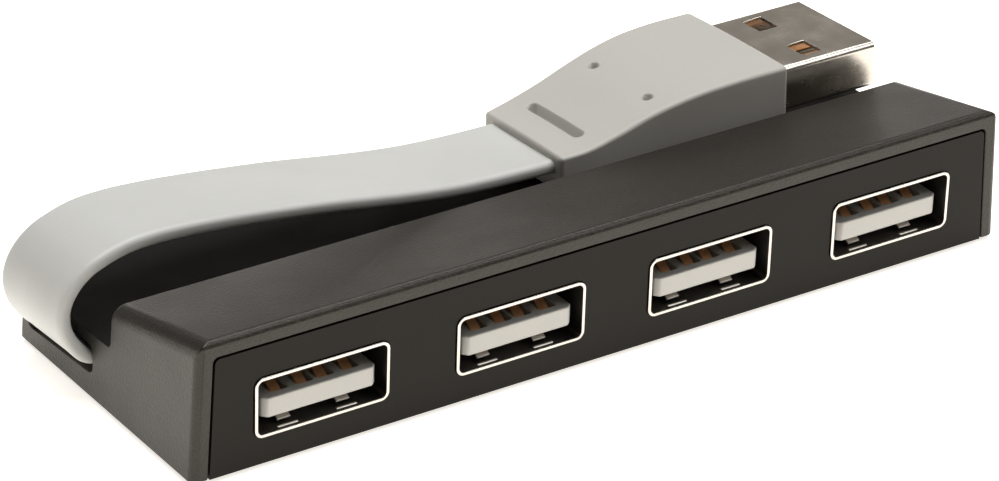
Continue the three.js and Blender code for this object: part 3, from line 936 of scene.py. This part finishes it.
@dataclass
class Boot:
    """The plug's moulded grip: it swells from the cable to the plug, with a slot and two dimples."""

    axes: LeadAxes
    rear: float = 0.00532
    front: float = 0.0293
    bottom: float = 0.00062
    low_radius: float = 0.0006
    crown: float = 0.00012
    rear_round: float = 0.0003
    rear_corner: float = 0.0004
    front_round: float = 0.00045
    slot_x: float = 0.0089
    slot_half_length: float = 0.0040
    slot_half_width: float = 0.00048
    slot_depth: float = 0.0011
    dimple_x: float = 0.0160
    dimple_v: float = 0.0042
    dimple_radius: float = 0.00044
    dimple_depth: float = 0.0013
    soft_edge: float = 0.00013
    pocket_half: float = 0.00622
    pocket_low: float = 0.00217
    pocket_high: float = 0.00707
    pocket_depth: float = 0.0014
    pocket_radius: float = 0.0007
    end_rings: int = 12
    middle_rings: int = 262
    # How far each ring of the flat ends has drawn in, as shares.
    rear_shares: tuple[float, ...] = (0.3, 0.6, 0.8, 0.92)
    face_shares: tuple[float, ...] = (0.25, 0.5, 0.75, 0.97, 1.0)
    wall_shares: tuple[float, ...] = (0.03, 0.3, 1.0)
    floor_shares: tuple[float, ...] = (0.9, 0.5, 0.15)
    # Stations along the boot as (x, half width, top, radius of the upper edges).
    stations: tuple[tuple[float, float, float, float], ...] = (
        (0.0053, 0.00612, 0.00413, 0.0003), (0.0080, 0.00655, 0.00446, 0.0003),
        (0.0110, 0.00672, 0.00524, 0.0004), (0.0150, 0.00695, 0.00646, 0.0004),
        (0.0180, 0.00725, 0.00716, 0.0004), (0.0210, 0.00750, 0.00760, 0.0004),
        (0.0240, 0.00763, 0.00778, 0.0004), (0.0293, 0.00763, 0.00778, 0.0004),
    )

    def build(self) -> bpy.types.Object:
        """Makes the boot.

        Rings of a rounded rectangle follow the stations. At each end an edge of quarter-circle
        section turns in, and at the front the skin goes on into a pocket for the plug's shell.

        Returns:
            the boot.
        """
        section = RoundedSection(across=110, upright=12, corner=10)
        x = self.stationing()
        table = np.array(self.stations)
        read = through(table[:, 0], table[:, 1:], np.clip(x, self.rear, self.front))
        at_front = arc_inset(self.front - x, self.front_round)
        edge = arc_inset(x - self.rear, self.rear_round) + at_front
        half = read[:, 0] - arc_inset(x - self.rear, self.rear_corner) - at_front
        high = read[:, 1] - edge
        low = self.bottom + edge
        flat = section.rings(half, low, high, np.full(len(x), self.low_radius), read[:, 2])
        rings = np.concatenate([np.broadcast_to(x[:, None, None], (*flat.shape[:2], 1)), flat], axis=-1)
        self.relief(rings, half, high)
        rings = np.concatenate([self.rear_wall(rings[0]), rings, self.pocket(section, rings[-1])])
        points, faces = sweep(self.axes.place(rings.reshape(-1, 3)).reshape(rings.shape))
        piece = build_piece("plug_grip", points, faces, BOOT_SKIN, Body.LEAD)
        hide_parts("plug_boot")
        return piece

    def stationing(self) -> np.ndarray:
        """Returns each ring's x: close together where the ends are rounded, even between."""
        turn = np.linspace(0.0, math.pi / 2, self.end_rings)
        rear = self.rear + self.rear_corner * (1 - np.cos(turn))
        front = self.front - self.front_round * (1 - np.sin(turn))
        middle = np.linspace(rear[-1], front[0], self.middle_rings)
        return np.concatenate([rear, middle[1:-1], front])

    def relief(self, rings: np.ndarray, half: np.ndarray, high: np.ndarray) -> None:
        """Crowns the top and presses in the slot and the dimples, changing the rings in place.

        The crown is c (1 - (v / half width)^2). The slot and dimples go down where the distance
        to their outline, a stadium or a circle, is negative, over a soft edge.
        """
        x = rings[:, :, 0]
        v = rings[:, :, 1]
        on_top = rings[:, :, 2] > (high[:, None] - SKIN_DEPTH)
        bulge = self.crown * np.clip(1.0 - (v / half[:, None]) ** 2, 0.0, 1.0)
        over = np.maximum(np.abs(v) - (self.slot_half_length - self.slot_half_width), 0.0)
        slot = np.hypot(x - self.slot_x, over) - self.slot_half_width
        dimple = np.hypot(x - self.dimple_x, np.abs(v) - self.dimple_v) - self.dimple_radius
        sink = self.slot_depth * smoothstep(0.5 - slot / self.soft_edge)
        sink += self.dimple_depth * smoothstep(0.5 - dimple / self.soft_edge)
        rings[:, :, 2] += np.where(on_top, bulge - sink, 0.0)

    def rear_wall(self, edge: np.ndarray) -> np.ndarray:
        """Returns the rings of the flat rear face, drawn in from its edge towards the middle."""
        centre = edge.mean(axis=0)
        return centre + (edge[None] - centre) * as_column(self.rear_shares)

    def pocket(self, section: RoundedSection, edge: np.ndarray) -> np.ndarray:
        """Returns the rings of the front face and of the pocket that the plug's shell stands in."""
        one = np.ones(1)
        radius = one * self.pocket_radius
        mouth = section.rings(
            one * self.pocket_half, one * self.pocket_low, one * self.pocket_high, radius, radius,
        )[0]
        mouth = np.concatenate([np.full((len(mouth), 1), self.front), mouth], axis=-1)
        face = edge[None] + (mouth - edge)[None] * as_column(self.face_shares)
        steps = as_column(self.wall_shares) * np.array([self.pocket_depth, 0.0, 0.0])
        wall = mouth[None] - steps
        centre = wall[-1].mean(axis=0)
        floor = centre + (wall[-1][None] - centre) * as_column(self.floor_shares)
        return np.concatenate([face, wall, floor])


@dataclass
class Plug:
    """The metal end of the lead: its folded shell, insulator and contacts."""

    shell_edge: float = 0.00006
    block_edge: float = 0.00012
    contact_edge: float = 0.00004

    def build(self) -> list:
        """Refines each piece.

        Returns:
            the pieces made.
        """
        made = [
            finer("plug_shell", PLUG_NICKEL, Body.LEAD, self.shell_edge),
            finer("plug_insulator", TONGUE_SKIN, Body.LEAD, self.block_edge),
        ]
        for number in range(1, CONTACTS + 1):
            made.append(finer(f"plug_contact_{number}", COPPER, Body.LEAD, self.contact_edge))
        return made


@dataclass
class Lead:
    """The captive lead: cable, boot and plug."""

    def build(self) -> None:
        """Makes the pieces at the cable's end, then the cable that they hang on."""
        axes = LeadAxes()
        grip = Boot(axes).build()
        metal = Plug().build()
        FlatCable(axes).build([grip, *metal])


# ---- studio ---------------------------------------------------------------------------


@dataclass
class Studio:
    """The camera, a pale floor and soft lights."""

    place: Triple = (-0.20833, -0.29558, 0.20026)
    azimuth: float = 34.849
    elevation: float = 28.397
    roll: float = 1.917
    lens: float = 168.1
    floor_size: float = 4.0
    sky: Triple = (1.0, 0.95, 0.88)
    sky_front: float = 0.075
    sky_back: float = 0.275
    bright_side: Triple = (0.6, 0.8, 0.0)
    # The share of the way towards the bright side where the sky starts and stops getting lighter.
    fade_start: float = 0.4
    fade_end: float = 0.9
    sensor: float = 36.0
    nearest: float = 0.01
    paper: Triple = (0.93, 0.905, 0.86)
    paper_glow: Triple = (1.0, 0.965, 0.91)
    glow_strength: float = 0.8

    def build(self) -> None:
        """Sets everything up."""
        bpy.context.scene.view_settings.view_transform = "Standard"
        self.camera()
        self.floor()
        self.world()
        self.lamp("overhead", (0.13, 0.13, 0.86), size=0.75, power=9.0)
        self.lamp("fill", (0.5, -0.42, 0.64), size=0.4, power=1.3)

    def camera(self) -> None:
        """Makes the camera: it looks along its azimuth, down by its elevation, then rolls."""
        turn = math.radians(self.azimuth)
        down = math.radians(self.elevation)
        ahead = Vector((math.sin(turn) * math.cos(down), math.cos(turn) * math.cos(down), -math.sin(down)))
        level = Vector((math.cos(turn), -math.sin(turn), 0.0))
        upright = level.cross(ahead)
        roll = math.radians(self.roll)
        right = level * math.cos(roll) + upright * math.sin(roll)
        up = upright * math.cos(roll) - level * math.sin(roll)
        data = bpy.data.cameras.new("camera")
        data.lens = self.lens
        data.sensor_width = self.sensor
        data.clip_start = self.nearest
        camera = add_object("camera", data)
        axes = Matrix((right, up, -ahead)).transposed()
        camera.matrix_world = Matrix.Translation(self.place) @ axes.to_4x4()
        bpy.context.scene.camera = camera

    def floor(self) -> None:
        """Makes the pale floor."""
        half = self.floor_size / 2
        mesh = bpy.data.meshes.new("floor")
        corners = [(-half, -half, 0.0), (half, -half, 0.0), (half, half, 0.0), (-half, half, 0.0)]
        mesh.from_pydata(corners, [], [(0, 1, 2, 3)])
        sketch = Sketch("floor_paper")
        sketch.set(Base_Color=(*self.paper, 1), Roughness=0.9, Specular_IOR_Level=0.1)
        sketch.set(Emission_Color=(*self.paper_glow, 1), Emission_Strength=self.glow_strength)
        mesh.materials.append(sketch.material)
        add_object("floor", mesh)

    def world(self) -> None:
        """Makes the dim warm surroundings, which are lighter behind the hub, on its right."""
        world = bpy.data.worlds.new("surroundings")
        world.use_nodes = True
        nodes = world.node_tree.nodes
        links = world.node_tree.links
        back = nodes["Background"]
        back.inputs["Color"].default_value = (*self.sky, 1)
        towards = nodes.new("ShaderNodeVectorMath")
        towards.operation = "DOT_PRODUCT"
        towards.inputs[1].default_value = self.bright_side
        links.new(nodes.new("ShaderNodeTexCoord").outputs["Generated"], towards.inputs[0])
        fade = nodes.new("ShaderNodeMapRange")
        fade.inputs["From Min"].default_value = self.fade_start
        fade.inputs["From Max"].default_value = self.fade_end
        fade.inputs["To Min"].default_value = self.sky_front
        fade.inputs["To Max"].default_value = self.sky_back
        links.new(towards.outputs["Value"], fade.inputs["Value"])
        links.new(fade.outputs["Result"], back.inputs["Strength"])
        bpy.context.scene.world = world

    def lamp(self, name: str, place: Triple, size: float, power: float) -> None:
        """Makes a square soft lamp that faces the hub.

        Args:
            name: the lamp's name.
            place: its centre.
            size: its side, in metres.
            power: its power, in watts.
        """
        data = bpy.data.lights.new(name, "AREA")
        data.size = size
        data.energy = power
        lamp = add_object(name, data)
        lamp.location = place
        lamp.rotation_euler = (-Vector(place)).to_track_quat("-Z", "Y").to_euler()


def main() -> None:
    """Builds the studio and the hub."""
    logging.basicConfig(level=logging.INFO, format="%(name)s: %(message)s")
    Studio().build()
    Lead().build()
    Housing().build()
    for number in range(1, PORTS + 1):
        Socket(number).build()
    Electronics().build()


if __name__ == "__main__":
    main()
